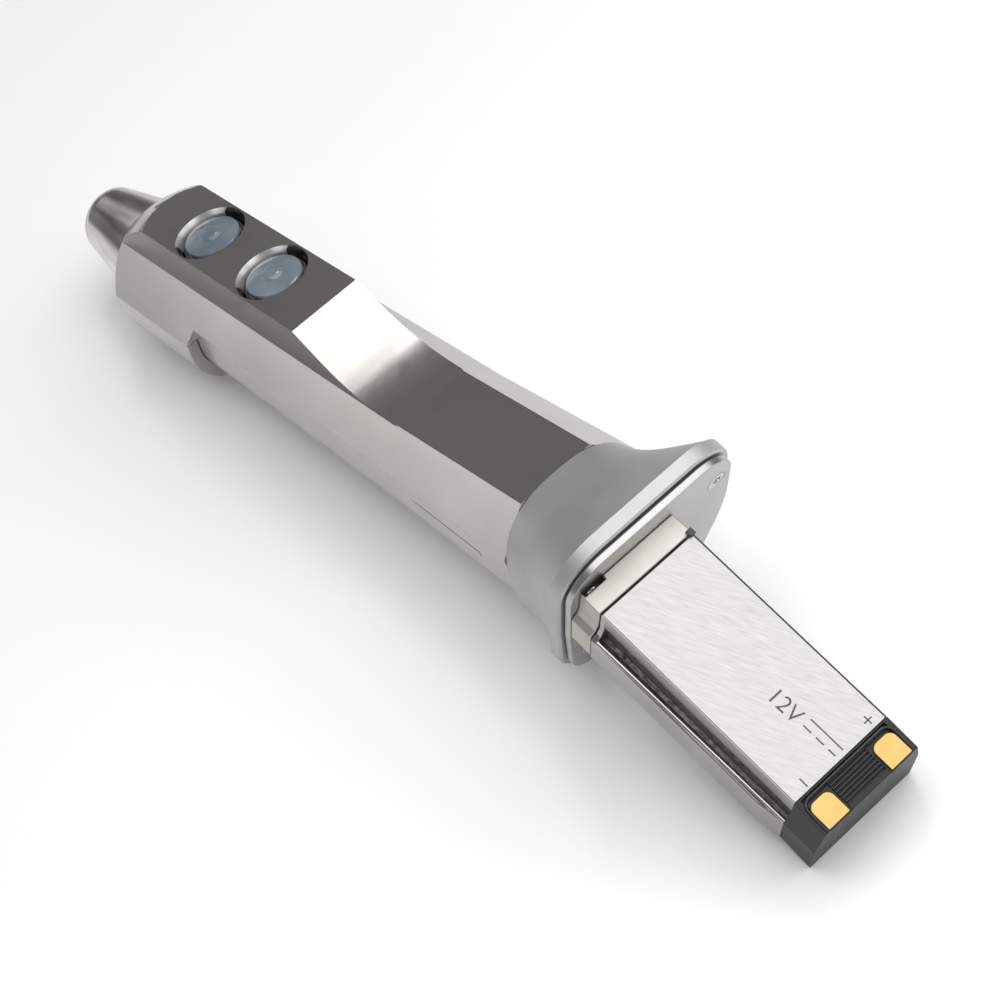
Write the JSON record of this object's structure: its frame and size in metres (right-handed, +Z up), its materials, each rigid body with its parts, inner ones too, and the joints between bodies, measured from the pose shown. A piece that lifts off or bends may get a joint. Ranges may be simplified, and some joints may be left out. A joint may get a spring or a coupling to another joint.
{
  "type": "surgical power screwdriver",
  "caption": "Handheld battery surgical screwdriver: steel grip with two buttons, planetary drive, bell hand stop and slide-out pack",
  "frame": {"origin": "mouth of the tool socket, on the spindle axis at the nose tip", "axes": "+X rearwards along the spindle axis, +Z up through the buttons, +Y to the side away from the pack"},
  "size_m": [0.2376, 0.0375, 0.0458],
  "materials": {
    "steel_satin": "satin",
    "steel_polished": "polished",
    "steel_gear": "ground",
    "alu_blasted": "bead blasted",
    "silicone": "smooth",
    "seal_rubber": "matte",
    "black_plastic": "fine",
    "board_green": "coated",
    "gold_contact": "plated",
    "cell_wrap": "wrapped",
    "magnet": "matte"
  },
  "bodies": {
    "handle": {"grip_housing": "steel_satin", "belly_cover": "steel_satin", "nose_cone": "steel_polished", "nose_ring": "steel_polished", "front_button_seal": "seal_rubber", "rear_button_seal": "seal_rubber", "front_switch": "black_plastic", "rear_switch": "black_plastic", "switch_board": "board_green", "hand_stop": "alu_blasted", "stop_gasket": "seal_rubber", "end_plate": "steel_satin", "end_plate_screws": "steel_polished", "dock_collar": "steel_polished", "dock_catch": "black_plastic", "dock_contact_block": "black_plastic", "dock_spring_pins": "gold_contact", "front_bearing": "steel_gear", "rear_bearing": "steel_gear", "nose_seal": "seal_rubber", "ring_gear": "steel_gear", "motor_can": "steel_satin", "motor_magnets": "magnet", "motor_end_bell": "black_plastic", "motor_terminals": "gold_contact", "control_board": "board_green", "control_chips": "black_plastic"},
    "spindle": {"output_spindle": "steel_gear", "detent_balls": "steel_polished", "detent_spring_ring": "steel_gear", "front_bearing_inner": "steel_gear", "rear_bearing_inner": "steel_gear"},
    "carrier": {"first_carrier": "steel_gear"},
    "rotor": {"motor_rotor": "steel_gear"},
    "planet_a1": {"first_planet_1": "steel_gear"},
    "planet_a2": {"first_planet_2": "steel_gear"},
    "planet_a3": {"first_planet_3": "steel_gear"},
    "planet_b1": {"second_planet_1": "steel_gear"},
    "planet_b2": {"second_planet_2": "steel_gear"},
    "planet_b3": {"second_planet_3": "steel_gear"},
    "front_key": {"front_button": "silicone", "front_button_stem": "black_plastic"},
    "rear_key": {"rear_button": "silicone", "rear_button_stem": "black_plastic"},
    "pack": {"pack_shell": "steel_satin", "pack_label_plate": "steel_satin", "pack_rails": "steel_polished", "pack_end_cap": "black_plastic", "pack_contact_pads": "gold_contact", "pack_inner_contacts": "gold_contact", "battery_cells": "cell_wrap"}
  },
  "joints": [
    {"name": "spindle_spin", "type": "hinge", "parent": "handle", "child": "spindle", "pos_m": [0, 0, 0], "axis": [1, 0, 0], "continuous": true},
    {"name": "carrier_spin", "type": "hinge", "parent": "handle", "child": "carrier", "pos_m": [0, 0, 0], "axis": [1, 0, 0], "continuous": true},
    {"name": "rotor_spin", "type": "hinge", "parent": "handle", "child": "rotor", "pos_m": [0, 0, 0], "axis": [1, 0, 0], "continuous": true},
    {"name": "planet_a1_spin", "type": "hinge", "parent": "carrier", "child": "planet_a1", "pos_m": [0.046, 0.00567, 0], "axis": [1, 0, 0], "continuous": true},
    {"name": "planet_a2_spin", "type": "hinge", "parent": "carrier", "child": "planet_a2", "pos_m": [0.046, -0.00283, 0.00491], "axis": [1, 0, 0], "continuous": true},
    {"name": "planet_a3_spin", "type": "hinge", "parent": "carrier", "child": "planet_a3", "pos_m": [0.046, -0.00283, -0.00491], "axis": [1, 0, 0], "continuous": true},
    {"name": "planet_b1_spin", "type": "hinge", "parent": "spindle", "child": "planet_b1", "pos_m": [0.041, 0.00567, 0], "axis": [1, 0, 0], "continuous": true},
    {"name": "planet_b2_spin", "type": "hinge", "parent": "spindle", "child": "planet_b2", "pos_m": [0.041, -0.00283, 0.00491], "axis": [1, 0, 0], "continuous": true},
    {"name": "planet_b3_spin", "type": "hinge", "parent": "spindle", "child": "planet_b3", "pos_m": [0.041, -0.00283, -0.00491], "axis": [1, 0, 0], "continuous": true},
    {"name": "front_button_press", "type": "slide", "parent": "handle", "child": "front_key", "axis": [0, 0, -1], "range_m": [0, 0.0008], "stiffness_N_per_m": 1500, "springref_m": -0.0006},
    {"name": "rear_button_press", "type": "slide", "parent": "handle", "child": "rear_key", "axis": [0, 0, -1], "range_m": [0, 0.0008], "stiffness_N_per_m": 1500, "springref_m": -0.0006},
    {"name": "pack_slide", "type": "slide", "parent": "handle", "child": "pack", "axis": [0.8886, 0, -0.4587], "range_m": [0, 0.06]}
  ],
  "couplings": [
    {"joint": "spindle_spin", "follows": "rotor_spin", "ratio": 0.049383},
    {"joint": "carrier_spin", "follows": "rotor_spin", "ratio": 0.22222},
    {"joint": "planet_b1_spin", "follows": "rotor_spin", "ratio": -0.13827},
    {"joint": "planet_b2_spin", "follows": "rotor_spin", "ratio": -0.13827},
    {"joint": "planet_b3_spin", "follows": "rotor_spin", "ratio": -0.13827},
    {"joint": "planet_a1_spin", "follows": "rotor_spin", "ratio": -0.62222},
    {"joint": "planet_a2_spin", "follows": "rotor_spin", "ratio": -0.62222},
    {"joint": "planet_a3_spin", "follows": "rotor_spin", "ratio": -0.62222}
  ]
}
